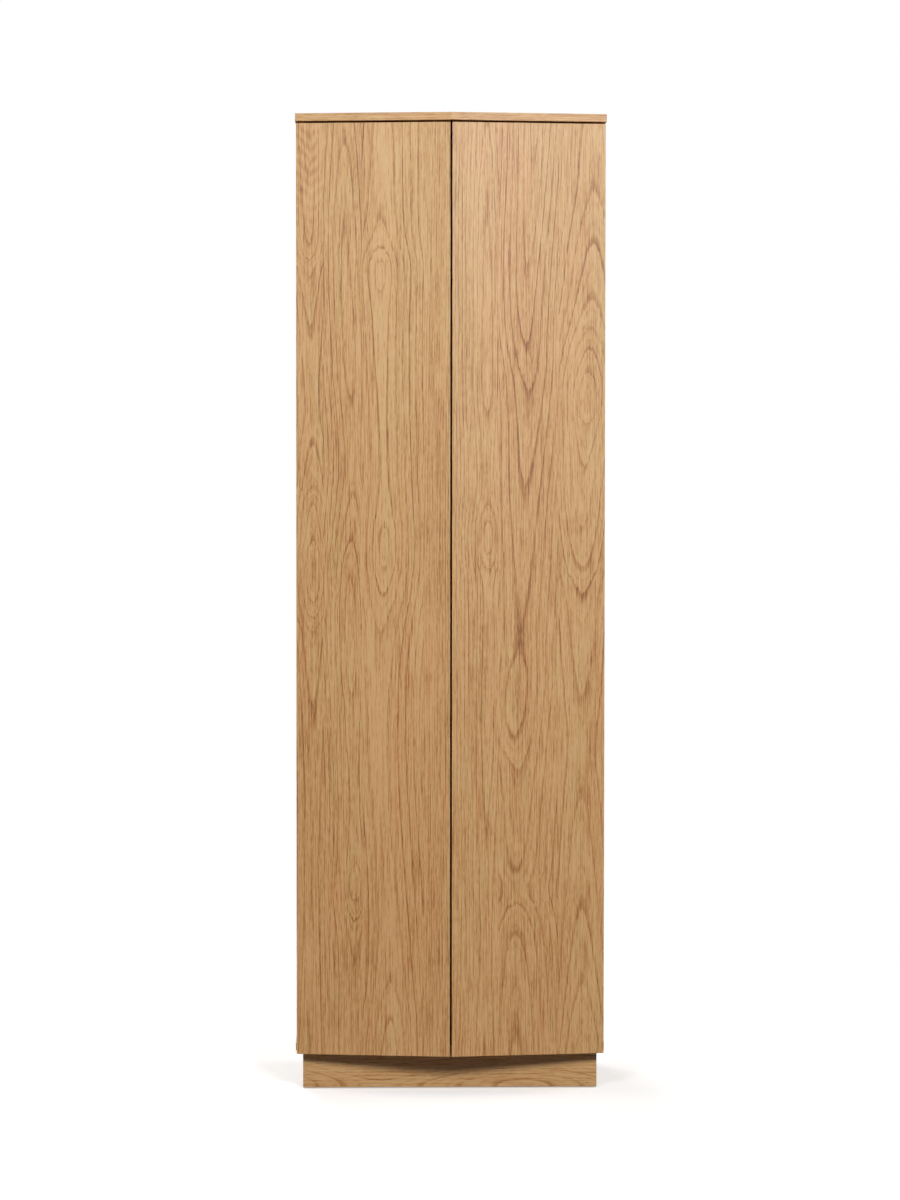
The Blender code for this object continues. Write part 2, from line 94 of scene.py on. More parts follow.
# Hinge screws. Heights are off the side panel's inner face, and the cup's are back from the hinge axis
PLATE_SCREW_OFFSET = 0.016
PLATE_FRONT = 0.0023
ARM_SCREW_OFFSET = 0.011
ARM_FRONT = 0.0106
CUP_CENTRE = 0.013
CUP_SCREW_ALONG = CUP_CENTRE + 0.0067
CUP_SCREW_OFFSET = 0.0240
CUP_FLANGE_TOP = 0.0110

# Screws of the wall brackets. Their heads are on the inner faces, a seat's depth in from the outer ones
BRACKET_SCREW_OFFSET = 0.011
BRACKET_SCREW_FROM_FRONT = 0.010
BRACKET_SCREW_FROM_FOOT = 0.013
BRACKET_SCREW_SEAT = 0.0021

# Caps over the cam locks, and bumpers on the doors
CAP_FROM_SIDE = 0.034
CAP_ROWS = (-0.085, 0.150)
DOOR_REAR = 0.0095
BUMPERS_ALONG = (0.050, 0.275)
BUMPER_FROM_FOOT = 0.011

# Oak, as linear colours from the palest late wood to the darkest pores
OAK_COLOURS = (
    (0.00, (0.720, 0.430, 0.190)),
    (0.35, (0.600, 0.312, 0.110)),
    (0.65, (0.460, 0.200, 0.058)),
    (1.00, (0.270, 0.092, 0.024)),
)

# Tints that drift over the oak, from pinkish to yellowish: at random, and as painted light from the foot to
# the top of the doors
OAK_TINTS = (
    (0.20, (1.012, 0.940, 0.915)),
    (0.80, (0.988, 1.060, 1.050)),
)


# Node helpers


def add(tree, kind, *values, **settings):
    """A new node. Each value goes to the input in its place: a socket is linked, and any other is set."""
    node = tree.nodes.new(kind)
    for key, setting in settings.items():
        setattr(node, key, setting)
    for place, value in enumerate(values):
        if isinstance(value, bpy.types.NodeSocket):
            tree.links.new(value, node.inputs[place])
        elif value is not None:
            node.inputs[place].default_value = value
    return node


def math_node(tree, operation, *values):
    return add(tree, "ShaderNodeMath", *values, operation=operation).outputs[0]


def plus(tree, first, second):
    return math_node(tree, "ADD", first, second)


def times(tree, first, second):
    return math_node(tree, "MULTIPLY", first, second)


def vector(tree, x, y, z):
    return add(tree, "ShaderNodeCombineXYZ", x, y, z).outputs[0]


def remap(tree, value, low, high, to_low=0.0, to_high=1.0):
    """value carried smoothly from low..high to to_low..to_high, and held there outside that range."""
    node = add(tree, "ShaderNodeMapRange", value, low, high, to_low, to_high)
    node.interpolation_type = "SMOOTHSTEP"
    return node.outputs[0]


def noise(tree, where, scale, detail=2.0, roughness=0.5):
    """Noise from about -0.5 to 0.5 at this place."""
    node = add(tree, "ShaderNodeTexNoise", where, None, scale, detail, roughness)
    return math_node(tree, "SUBTRACT", node.outputs[0], 0.5)


def noise_2d(tree, across, along, per_across, per_along, seed, detail=2.0):
    """Noise with its own number of waves per metre across and along the grain."""
    where = vector(tree, times(tree, across, per_across), times(tree, along, per_along), seed)
    return noise(tree, where, 1.0, detail)


def blend(tree, share, first, second):
    return add(tree, "ShaderNodeMix", share, None, first, second, data_type="FLOAT").outputs[0]


def curve(tree, value, points):
    """A smooth curve through (value, result) points. Both run from 0 to 1."""
    node = tree.nodes.new("ShaderNodeFloatCurve")
    tree.links.new(value, node.inputs["Value"])
    line = node.mapping.curves[0]
    ends = (points[0], points[-1])
    for handle, (x, y) in zip(line.points, ends):
        handle.location = (x, y)
    for x, y in points[1:-1]:
        line.points.new(x, y)
    for handle in line.points:
        handle.handle_type = "AUTO_CLAMPED"
    node.mapping.update()
    return node.outputs[0]


def new_material(name):
    """(material, its node tree, its Principled shader) with nothing else in the tree."""
    material = bpy.data.materials.new(name)
    material.use_nodes = True
    tree = material.node_tree
    tree.nodes.clear()
    output = tree.nodes.new("ShaderNodeOutputMaterial")
    shader = tree.nodes.new("ShaderNodeBsdfPrincipled")
    tree.links.new(shader.outputs[0], output.inputs[0])
    return material, tree, shader


def ramp(tree, value, stops):
    node = add(tree, "ShaderNodeValToRGB", value)
    elements = node.color_ramp.elements
    elements[0].position, elements[1].position = stops[0][0], stops[-1][0]
    elements[0].color = (*stops[0][1], 1.0)
    elements[1].color = (*stops[-1][1], 1.0)
    for position, colour in stops[1:-1]:
        elements.new(position).color = (*colour, 1.0)
    return node.outputs[0]


# Oak veneer


def oak_group():
    """How lacquered oak looks, from its growth rings and the place across and along the grain."""
    tree = bpy.data.node_groups.new("oak_figure", "ShaderNodeTree")
    for name in ("Rings", "Across", "Along", "Shade", "Hue"):
        tree.interface.new_socket(name, in_out="INPUT", socket_type="NodeSocketFloat")
    tree.interface.new_socket("Color", in_out="OUTPUT", socket_type="NodeSocketColor")
    tree.interface.new_socket("Roughness", in_out="OUTPUT", socket_type="NodeSocketFloat")
    tree.interface.new_socket("Height", in_out="OUTPUT", socket_type="NodeSocketFloat")
    source = tree.nodes.new("NodeGroupInput").outputs
    rings, across, along, shade, painted_light_hue = (source[place] for place in range(5))

    # Each ring starts dark and fades, and its number decides how dark it is
    ring = math_node(tree, "FRACT", rings)
    number = math_node(tree, "FLOOR", rings)
    chance = add(tree, "ShaderNodeTexWhiteNoise", None, number, noise_dimensions="1D").outputs[0]
    rise = remap(tree, ring, 0.95, 1.0)
    fall = remap(tree, ring, 0.02, 0.26, 1.0, 0.0)
    early = math_node(tree, "MAXIMUM", rise, fall)
    strength = plus(tree, times(tree, chance, 0.75), 0.35)
    strength = plus(tree, strength, noise_2d(tree, across, along, 45.0, 9.0, 1.0))
    strength = times(tree, strength, remap(tree, along, 0.4, 1.6, 0.80, 1.10))
    early = times(tree, early, strength)

    # Finer lines between the rings, then the streaks and pores that run along the grain
    between = math_node(tree, "FRACT", times(tree, rings, 2.37))
    between = remap(tree, between, 0.0, 0.45, 1.0, 0.0)

    streaks = noise_2d(tree, across, along, 340.0, 5.0, 3.0)
    fibres = noise_2d(tree, across, along, 560.0, 16.0, 5.0)
    stripes = noise_2d(tree, across, along, 190.0, 1.6, 17.0)
    patches = noise_2d(tree, across, along, 26.0, 1.8, 7.0)
    grain = noise_2d(tree, across, along, 780.0, 60.0, 19.0)
    pores = remap(tree, noise_2d(tree, across, along, 1500.0, 70.0, 9.0), 0.06, 0.20)
    pores = times(tree, pores, plus(tree, times(tree, early, 0.75), 0.25))

    layers = (
        (early, 0.46),
        (between, 0.15),
        (ring, -0.10),
        (streaks, 1.05),
        (fibres, 1.58),
        (grain, 1.15),
        (stripes, 0.50),
        (patches, 0.48),
        (pores, 0.22),
    )
    dark = plus(tree, shade, 0.24)
    for layer, weight in layers:
        dark = plus(tree, dark, times(tree, layer, weight))

    result = tree.nodes.new("NodeGroupOutput").inputs
    # The hue is the wood's own random tint plus the Hue input, which is painted light: straw towards the top
    hue = plus(tree, noise_2d(tree, across, along, 9.0, 0.9, 21.0), plus(tree, painted_light_hue, 0.5))
    hue = plus(tree, hue, noise_2d(tree, across, along, 150.0, 4.0, 23.0, 1.0))
    tint = ramp(tree, hue, OAK_TINTS)
    colour = add(tree, "ShaderNodeVectorMath", ramp(tree, dark, OAK_COLOURS), tint, operation="MULTIPLY")
    tree.links.new(colour.outputs[0], result[0])
    tree.links.new(plus(tree, times(tree, pores, 0.16), 0.46), result[1])
    relief = plus(tree, times(tree, pores, -1.0), times(tree, early, -0.25))
    tree.links.new(relief, result[2])
    return tree


OAK = oak_group()


def finish_oak(tree, shader, rings, across, along, shade=0.0, hue=0.0):
    """Joins the growth rings to the oak's colour, gloss and relief. hue runs from pink to straw, and is
    painted light: the light's colour changing from the foot to the top.
    """
    figure = add(tree, "ShaderNodeGroup", node_tree=OAK)
    values = {"Rings": rings, "Across": across, "Along": along, "Shade": shade, "Hue": hue}
    for name, value in values.items():
        if isinstance(value, bpy.types.NodeSocket):
            tree.links.new(value, figure.inputs[name])
        else:
            figure.inputs[name].default_value = value
    tree.links.new(figure.outputs["Color"], shader.inputs["Base Color"])
    tree.links.new(figure.outputs["Roughness"], shader.inputs["Roughness"])
    bump = tree.nodes.new("ShaderNodeBump")
    bump.inputs["Strength"].default_value = 0.45
    bump.inputs["Distance"].default_value = 0.00025
    tree.links.new(figure.outputs["Height"], bump.inputs["Height"])
    tree.links.new(bump.outputs[0], shader.inputs["Normal"])
    shader.inputs["Specular IOR Level"].default_value = 0.5


def place_on(tree, letters):
    """The object's own coordinates along these axes, in metres."""
    where = add(tree, "ShaderNodeTexCoord").outputs["Object"]
    axes = add(tree, "ShaderNodeSeparateXYZ", where)
    return [axes.outputs["XYZ".index(letter)] for letter in letters]


def oak_sheet(name, across_axis, along_axis, seed, leaf=0.118, spacing=0.0085, shade=0.0):
    """Slip-matched veneer leaves side by side, each with its own heart, for boards seen from the face."""
    material, tree, shader = new_material(name)
    other = ({"X", "Y", "Z"} - {across_axis, along_axis}).pop()
    across, along, level = place_on(tree, (across_axis, along_axis, other))
    warp = times(tree, noise_2d(tree, across, along, 12.0, 1.7, seed), 0.016)
    ragged = times(tree, noise_2d(tree, across, along, 95.0, 9.0, seed + 1), 0.003)

    # Each leaf of each board has a number, and three draws of its own from that
    shelf = times(tree, math_node(tree, "ROUND", times(tree, level, 6.0)), 5.37)
    place = plus(tree, times(tree, across, 1 / leaf), seed + 0.37)
    number = plus(tree, math_node(tree, "FLOOR", place), shelf)
    draw = add(tree, "ShaderNodeTexWhiteNoise", None, number, noise_dimensions="1D").outputs[1]
    draws = add(tree, "ShaderNodeSeparateColor", draw).outputs

    # Rings run round the leaf's heart, and close where the cut comes near the middle of the log
    local = times(tree, math_node(tree, "SUBTRACT", math_node(tree, "FRACT", place), 0.5), leaf)
    heart = times(tree, math_node(tree, "SUBTRACT", draws[0], 0.5), leaf * 1.3)
    aside = plus(tree, math_node(tree, "SUBTRACT", local, heart), plus(tree, warp, ragged))
    drift = vector(tree, times(tree, draws[1], 40.0), times(tree, along, 1.5), seed)
    depth = plus(tree, times(tree, noise(tree, drift, 1.0, 1.0), 0.11), 0.055)
    reach = plus(tree, times(tree, aside, aside), times(tree, depth, depth))
    rings = times(tree, math_node(tree, "SQRT", reach), 1 / spacing)
    rings = plus(tree, rings, times(tree, draws[2], 9.0))
    tone = plus(tree, times(tree, math_node(tree, "SUBTRACT", draws[2], 0.5), 0.07), shade)
    finish_oak(tree, shader, rings, across, along, tone)
    return material


def oak_band(name, across_axis, along_axis, seed, hue=0.0):
    """Straight-grained edge banding."""
    material, tree, shader = new_material(name)
    across, along = place_on(tree, (across_axis, along_axis))
    warp = times(tree, noise_2d(tree, across, along, 30.0, 2.5, seed), 0.010)
    rings = times(tree, plus(tree, across, warp), 1 / 0.0042)
    finish_oak(tree, shader, plus(tree, rings, seed + 20.0), across, along, hue=hue)
    return material


class Leaf:
    """One leaf of veneer on a door's face.

    edge is the X of its right edge. heart lists (Z, X) of the middle of its figure, and depth lists
    (Z, rings) of how far the cut runs from the log's centre: rising depth upwards closes arches that
    point up, and a low spot closes an eye. first is the number of the ring in the middle, and each
    number has its own darkness. shade darkens the whole leaf, and core the middle of it.
    """

    def __init__(self, edge, spacing, first, heart, depth, shade=0.0, core=0.0):
        self.edge = edge
        self.spacing = spacing
        self.first = first
        self.heart = heart
        self.depth = depth
        self.shade = shade
        self.core = core


LEFT_LEAVES = (
    Leaf(
        edge=-0.263,
        spacing=0.0080,
        first=43,
        heart=((0.07, -0.290), (1.08, -0.283), (1.60, -0.288), (1.99, -0.296)),
        depth=(
            (0.07, 5.0), (0.49, 5.6), (0.80, 5.0), (0.95, 4.0), (0.98, 3.0), (1.014, 2.0), (1.084, 1.0),
            (1.138, 2.0), (1.179, 2.6), (1.220, 3.1), (1.249, 4.0), (1.337, 5.0), (1.42, 5.6), (1.58, 5.0),
            (1.683, 4.0), (1.718, 3.0), (1.749, 2.0), (1.85, 1.2), (1.99, 0.6),
        ),
        shade=0.02,
    ),
    Leaf(
        edge=-0.182,
        spacing=0.0075,
        first=77,
        heart=(
            (0.07, -0.199), (0.46, -0.197), (1.06, -0.207), (1.24, -0.202), (1.77, -0.218),
            (1.99, -0.220),
        ),
        depth=(
            (0.07, 5.2), (0.28, 5.0), (0.39, 3.2), (0.44, 2.5), (0.47, 3.0), (0.60, 3.7), (0.75, 3.4),
            (0.95, 2.5), (1.064, 3.0), (1.138, 4.0), (1.235, 5.0), (1.30, 5.5), (1.55, 4.6), (1.70, 4.8),
            (1.775, 5.0), (1.99, 6.2),
        ),
        shade=0.01,
    ),
    Leaf(
        edge=-0.056,
        spacing=0.0125,
        first=79,
        heart=(
            (0.07, -0.128), (0.23, -0.125), (0.80, -0.150), (1.12, -0.137), (1.68, -0.145),
            (1.99, -0.140),
        ),
        depth=(
            (0.07, 1.4), (0.15, 2.0), (0.23, 3.0), (0.35, 3.5), (0.55, 3.7), (0.80, 3.5), (0.95, 3.0),
            (1.03, 2.0), (1.06, 1.6), (1.125, 0.7), (1.20, 1.5), (1.30, 1.9), (1.50, 1.7), (1.645, 1.1),
            (1.683, 0.6), (1.714, 1.1), (1.74, 2.0), (1.80, 3.0), (1.99, 3.6),
        ),
        shade=-0.02,
        core=-0.11,
    ),
    Leaf(
        edge=0.0,
        spacing=0.0052,
        first=30,
        heart=((0.07, 0.060), (1.0, 0.052), (1.99, 0.063)),
        depth=((0.07, 3.0), (1.0, 3.6), (1.99, 3.0)),
    ),
)

RIGHT_LEAVES = (
    Leaf(
        edge=0.098,
        spacing=0.0065,
        first=84,
        heart=((0.07, 0.070), (1.0, 0.076), (1.99, 0.072)),
        depth=(
            (0.07, 5.0), (0.30, 5.6), (0.50, 5.2), (0.80, 4.5), (1.02, 4.7), (1.10, 3.4), (1.15, 2.6),
            (1.19, 3.4), (1.28, 4.6), (1.50, 3.6), (1.79, 4.0), (1.99, 5.0),
        ),
        shade=-0.01,
    ),
    Leaf(
        edge=0.222,
        spacing=0.0110,
        first=81,
        heart=(
            (0.07, 0.135), (0.46, 0.134), (0.67, 0.138), (0.74, 0.131), (0.94, 0.144), (1.25, 0.152),
            (1.45, 0.160), (1.60, 0.154), (1.92, 0.168), (1.99, 0.171),
        ),
        depth=(
            (0.07, 5.8), (0.15, 6.1), (0.22, 6.35), (0.30, 6.75), (0.387, 7.9), (0.422, 8.5), (0.463, 8.0),
            (0.667, 7.0), (0.737, 6.0), (0.823, 5.5), (0.94, 6.0), (1.01, 5.9), (1.253, 5.0), (1.446, 4.0),
            (1.543, 3.0), (1.704, 2.0), (1.92, 1.0), (1.99, 0.6),
        ),
        core=0.05,
    ),
    Leaf(
        edge=0.330,
        spacing=0.0110,
        first=24,
        heart=(
            (0.07, 0.274), (0.38, 0.272), (0.82, 0.271), (1.17, 0.271), (1.43, 0.281), (1.75, 0.294),
            (1.99, 0.296),
        ),
        depth=(
            (0.07, 3.5), (0.113, 4.0), (0.222, 5.0), (0.383, 6.0), (0.611, 7.0), (0.71, 7.4), (0.817, 7.0),
            (1.029, 6.0), (1.084, 5.0), (1.169, 4.0), (1.294, 3.0), (1.379, 2.0), (1.426, 1.2), (1.485, 2.0),
            (1.533, 3.0), (1.574, 4.0), (1.636, 5.0), (1.751, 6.0), (1.86, 7.0), (1.99, 7.5),
        ),
        shade=-0.035,
    ),
)
MOST_RINGS = 10.0
# How arches and eyes end: 2 is round, and 1 is a sharp V
TIP = 1.75


def leaf_figure(tree, leaf, across, along):
    """(rings, shade) of one leaf. The rings run round its heart, and close where its depth changes."""
    width = 2 * SIDE_INNER
    height = times(tree, along, 1 / HEIGHT)
    heart_points = [(z / HEIGHT, x / width + 0.5) for z, x in leaf.heart]
    depth_points = [(z / HEIGHT, rings / MOST_RINGS) for z, rings in leaf.depth]
    heart = times(tree, math_node(tree, "SUBTRACT", curve(tree, height, heart_points), 0.5), width)
    depth = times(tree, curve(tree, height, depth_points), MOST_RINGS)
    aside = times(tree, math_node(tree, "SUBTRACT", across, heart), 1 / leaf.spacing)
    aside = math_node(tree, "ABSOLUTE", aside)
    reach = plus(tree, math_node(tree, "POWER", aside, TIP), math_node(tree, "POWER", depth, TIP))
    near = remap(tree, aside, 0.6, 3.2, leaf.shade + leaf.core, leaf.shade)
    return plus(tree, math_node(tree, "POWER", reach, 1 / TIP), leaf.first), near


def ripples(tree, x, z):
    """Faint chevrons across the grain in the upper outer corner of the left door."""
    bend = math_node(tree, "ABSOLUTE", plus(tree, x, 0.287))
    level = plus(tree, z, times(tree, bend, -0.9))
    level = plus(tree, level, times(tree, noise_2d(tree, x, z, 60.0, 20.0, 31.0), 0.02))
    wave = math_node(tree, "SINE", times(tree, level, 250.0))
    inside = times(tree, remap(tree, x, -0.276, -0.262, 1.0, 0.0), remap(tree, z, 1.76, 1.86))
    return times(tree, times(tree, wave, inside), 0.11)


def oak_door(name, leaves, seed, rippled=False):
    """The face of one door: leaves side by side, whose figures are listed."""
    material, tree, shader = new_material(name)
    x, z = place_on(tree, "XZ")
    warp = times(tree, noise_2d(tree, x, z, 15.0, 2.6, seed), 0.006)
    ragged = times(tree, noise_2d(tree, x, z, 120.0, 24.0, seed + 1), 0.0016)
    across = plus(tree, x, plus(tree, warp, ragged))
    along = plus(tree, z, times(tree, noise_2d(tree, x, z, 330.0, 9.0, seed + 2), 0.022))
    rings, shade = leaf_figure(tree, leaves[0], across, along)
    for before, leaf in zip(leaves, leaves[1:]):
        next_rings, next_shade = leaf_figure(tree, leaf, across, along)
        beyond = math_node(tree, "GREATER_THAN", x, before.edge)
        rings = blend(tree, beyond, rings, next_rings)
        beyond = remap(tree, x, before.edge - 0.004, before.edge + 0.004)
        shade = blend(tree, beyond, shade, next_shade)
    if rippled:
        shade = plus(tree, shade, ripples(tree, x, z))
    # Painted light: the hue drifts from pink at the foot to straw at the top, for how the light's colour
    # changes up the doors
    finish_oak(tree, shader, rings, x, z, shade, remap(tree, z, 0.2, 1.9, -0.13, 0.16))
    return material


# Other materials


def nickel(name, tone, roughness):
    """Nickel-plated steel: fine grain in its gloss, and a slight cloudiness."""
    material, tree, shader = new_material(name)
    where = add(tree, "ShaderNodeTexCoord").outputs["Object"]
    cloud = noise(tree, where, 90.0, 3.0)
    grain = noise(tree, where, 2600.0, 2.0)
    colours = ((0.0, (tone * 0.80, tone * 0.82, tone * 0.85)), (1.0, (tone * 0.97, tone, tone * 1.04)))
    cloudiness = plus(tree, times(tree, cloud, 0.9), 0.6)
    tree.links.new(ramp(tree, cloudiness, colours), shader.inputs["Base Color"])
    gloss = plus(tree, plus(tree, times(tree, cloud, 0.10), times(tree, grain, 0.12)), roughness)
    tree.links.new(gloss, shader.inputs["Roughness"])
    shader.inputs["Metallic"].default_value = 1.0
    bump = add(tree, "ShaderNodeBump", 0.15, 0.00005)
    tree.links.new(grain, bump.inputs["Height"])
    tree.links.new(bump.outputs[0], shader.inputs["Normal"])
    return material


def moulded(name, pale, dark, roughness):
    """Moulded plastic with a fine matt grain."""
    material, tree, shader = new_material(name)
    where = add(tree, "ShaderNodeTexCoord").outputs["Object"]
    cloud = noise(tree, where, 60.0, 3.0)
    grain = noise(tree, where, 1800.0, 3.0)
    colour = ramp(tree, plus(tree, times(tree, cloud, 0.8), 0.5), ((0.0, dark), (1.0, pale)))
    tree.links.new(colour, shader.inputs["Base Color"])
    tree.links.new(plus(tree, times(tree, grain, 0.18), roughness), shader.inputs["Roughness"])
    bump = add(tree, "ShaderNodeBump", 0.25, 0.00008)
    tree.links.new(grain, bump.inputs["Height"])
    tree.links.new(bump.outputs[0], shader.inputs["Normal"])
    return material


FIGURE_LEFT = oak_door("oak_door_left", LEFT_LEAVES, 11.0, rippled=True)
FIGURE_RIGHT = oak_door("oak_door_right", RIGHT_LEAVES, 23.0)
SHEET_XY = oak_sheet("oak_sheet_level", "Y", "X", 2.0)
SHEET_ZY = oak_sheet("oak_sheet_side", "Y", "Z", 4.0)
SHEET_ZX = oak_sheet("oak_sheet_back", "X", "Z", 6.0, shade=0.03)
SHEET_PLINTH = oak_sheet("oak_sheet_plinth", "Z", "X", 9.0, leaf=0.16, spacing=0.0065)
SHEET_PLINTH_SIDE = oak_sheet("oak_sheet_plinth_side", "Z", "Y", 9.0, leaf=0.16, spacing=0.0065)
BAND_ZX = oak_band("oak_band_upright_x", "X", "Z", 1.0)
BAND_ZY = oak_band("oak_band_upright_y", "Y", "Z", 2.0)
# Painted light: level edges take the straw tint that painted light gives the tops of the doors, the top
# panel's edge and the shelf fronts alike
BAND_XZ = oak_band("oak_band_level_x", "Z", "X", 3.0, hue=0.16)
BAND_XY = oak_band("oak_band_level_xy", "Y", "X", 5.0)
BAND_YZ = oak_band("oak_band_level_y", "Z", "Y", 4.0)
STEEL = nickel("nickelled_steel", 0.84, 0.34)
DARK_STEEL = nickel("screw_steel", 0.66, 0.32)
GREY_PLASTIC = moulded("grey_plastic", (0.20, 0.20, 0.205), (0.15, 0.15, 0.155), 0.42)
NATURAL_PLASTIC = moulded("natural_plastic", (0.80, 0.78, 0.72), (0.70, 0.68, 0.62), 0.40)
CLEAR_PLASTIC = moulded("clear_plastic", (0.74, 0.72, 0.68), (0.66, 0.64, 0.60), 0.22)
CAP_PLASTIC = moulded("oak_coloured_plastic", (0.56, 0.33, 0.14), (0.46, 0.26, 0.10), 0.45)


# Piece helpers


def linked(name, mesh, body):
    """A piece of this mesh, in place, that rides on a body."""
    piece = bpy.data.objects.new(name, mesh)
    bpy.context.scene.collection.objects.link(piece)
    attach(piece, body)
    return piece


def clean_copy(node):
    """A CAD node's own shape, with its triangles merged back into flat faces."""
    shape = bmesh.new()
    shape.from_mesh(nodes[node].data)
    bmesh.ops.remove_doubles(shape, verts=shape.verts, dist=1e-5)
    bmesh.ops.dissolve_limit(
        shape, angle_limit=math.radians(0.5), verts=shape.verts, edges=shape.edges
    )
    bmesh.ops.recalc_face_normals(shape, faces=shape.faces)
    mesh = bpy.data.meshes.new(node)
    shape.to_mesh(mesh)
    shape.free()
    return mesh


def ease(piece, width, segments=2):
    """Rounds the sharp edges a little."""
    bevel = piece.modifiers.new("eased_edges", "BEVEL")
    bevel.width = width
    bevel.segments = segments
    bevel.limit_method = "ANGLE"
    bevel.angle_limit = math.radians(40)
    bevel.harden_normals = True
    piece.data.shade_smooth()
    piece.data.set_sharp_from_angle(angle=math.radians(40))


def stand_in(node, suffix, materials, width, choose=None, cutter=None):
    """A clean, eased piece in a CAD node's place. choose gives the material's number from a face normal."""
    mesh = clean_copy(node)
    if cutter:
        mesh = cut(mesh, cutter)
        mesh.materials.clear()
    for material in materials:
        mesh.materials.append(material)
    if choose:
        for face in mesh.polygons:
            face.material_index = choose(face.normal)
    piece = linked(f"{node}_{suffix}", mesh, nodes[node]["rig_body"])
    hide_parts(node)
    ease(piece, width)
    return piece


def by_axis(x_face, y_face, z_face):
    """Material numbers for faces that look mainly along X, Y and Z."""

    def choose(normal):
        sizes = (abs(normal.x), abs(normal.y), abs(normal.z))
        return (x_face, y_face, z_face)[sizes.index(max(sizes))]

    return choose


# Boards


def carcass_boards():
    level = (SHEET_XY, BAND_XZ, BAND_YZ)
    for node in ("top_panel", "bottom_panel"):
        stand_in(node, "board", level, 0.0007, by_axis(2, 1, 0))
    stand_in("fixed_shelf", "board", level, 0.0006, by_axis(2, 1, 0))
    for number in ADJUSTABLE_SHELVES:
        stand_in(f"adjustable_shelf_{number}", "board", level, 0.0006, by_axis(2, 1, 0))
    for name, inward in SIDES:
        upright = (SHEET_ZY, BAND_ZX, BAND_XY)
        holes = pin_hole_cutter(inward)
        stand_in(f"side_panel_{name}", "board", upright, 0.0006, by_axis(0, 1, 2), holes)
        stand_in(f"plinth_{name}", "board", (SHEET_PLINTH_SIDE, BAND_ZX), 0.0005, by_axis(0, 1, 1))
    for end in ("front", "rear"):
        stand_in(f"plinth_{end}", "board", (SHEET_PLINTH, BAND_XY), 0.0005, by_axis(1, 0, 1))
    for half in ("upper", "lower"):
        stand_in(f"back_panel_{half}", "board", (SHEET_ZX,), 0.0003)


def doors():
    for name, _ in SIDES:
        face = {"left": FIGURE_LEFT, "right": FIGURE_RIGHT}[name]
        materials = (face, SHEET_ZX, BAND_ZY, BAND_XY)

        def choose(normal):
            if abs(normal.z) > 0.7:
                return 3
            if abs(normal.y) < 0.7:
                return 2
            return 0 if normal.y < 0 else 1

        stand_in(f"door_{name}", "board", materials, 0.0007, choose)


# Hardware


def hardware():
    for name, _ in SIDES:
        for number in HINGES:
            stand_in(f"hinge_plate_{name}_{number}", "pressing", (STEEL,), 0.0004)
            stand_in(f"hinge_arm_{name}_{number}", "pressing", (STEEL,), 0.0004)
            stand_in(f"hinge_cup_{name}_{number}", "pressing", (STEEL,), 0.0002)
        stand_in(f"strike_plate_{name}", "pressing", (STEEL,), 0.0002)
        stand_in(f"wall_bracket_{name}", "pressing", (STEEL,), 0.0004)
        stand_in(f"latch_housing_{name}", "moulding", (GREY_PLASTIC,), 0.0010)
        stand_in(f"latch_plunger_{name}", "moulding", (NATURAL_PLASTIC,), 0.0008)
        for end in ("front", "rear"):
            stand_in(f"glide_{end}_{name}", "moulding", (NATURAL_PLASTIC,), 0.0003)
    stand_in("back_joining_strip", "moulding", (NATURAL_PLASTIC,), 0.0002)


def on_door(inward, along, back, height):
    """A point of a shut door: along it from its hinge axis, and back from that axis."""
    x = -PIVOT.x + along * math.cos(FRONT_ANGLE) + back * math.sin(FRONT_ANGLE)
    y = PIVOT.y - along * math.sin(FRONT_ANGLE) + back * math.cos(FRONT_ANGLE)
    return Vector((inward * x, y, height))


def facing(point, normal, turn=0.0):
    """The placing that stands a part on this point, with its top along the normal."""
    tilt = Vector((0, 0, 1)).rotation_difference(Vector(normal)).to_matrix().to_4x4()
    return Matrix.Translation(point) @ tilt @ Matrix.Rotation(turn, 4, "Z")


def lathe(profile, sides=20):
    """A mesh turned from (radius, height) points, from its lower rim to its top."""
    shape = bmesh.new()
    rings = []
    for radius, height in profile:
        ring = []
        for i in range(sides):
            angle = 2 * math.pi * i / sides
            ring.append(shape.verts.new((radius * math.cos(angle), radius * math.sin(angle), height)))
        rings.append(ring)
    for lower, upper in zip(rings, rings[1:]):
        for i in range(sides):
            j = (i + 1) % sides
            shape.faces.new((lower[i], lower[j], upper[j], upper[i]))
    shape.faces.new(rings[0][::-1])
    shape.faces.new(rings[-1])
    return shape


def box_into(shape, size, centre):
    placing = Matrix.Translation(centre) @ Matrix.Diagonal((*size, 1.0))
    bmesh.ops.create_cube(shape, size=1.0, matrix=placing)


def mesh_of(shape, name):
    mesh = bpy.data.meshes.new(name)
    shape.to_mesh(mesh)
    shape.free()
    return mesh


def cut(mesh, cutter):
    """The mesh less the cutter's shape."""
    helpers = [bpy.data.objects.new("cut_helper", shape) for shape in (mesh, cutter)]
    for helper in helpers:
        bpy.context.scene.collection.objects.link(helper)
    boolean = helpers[0].modifiers.new("cut", "BOOLEAN")
    boolean.operation = "DIFFERENCE"
    boolean.object = helpers[1]
    graph = bpy.context.evaluated_depsgraph_get()
    result = bpy.data.meshes.new_from_object(helpers[0].evaluated_get(graph))
    for helper in helpers:
        bpy.data.objects.remove(helper)
    return result


def screw_head(radius, height):
    """A pan head with a cross recess."""
    profile = [(radius * 0.98, 0.0), (radius, height * 0.35), (radius * 0.86, height * 0.75)]
    profile += [(radius * 0.55, height * 0.95), (radius * 0.2, height)]
    head = mesh_of(lathe(profile), "screw_head")
    for length, width in ((1.15, 0.26), (0.26, 1.15)):
        bar = bmesh.new()
        box_into(bar, (radius * length, radius * width, height), (0, 0, height * 0.95))
        head = cut(head, mesh_of(bar, "cross_recess"))
    return head


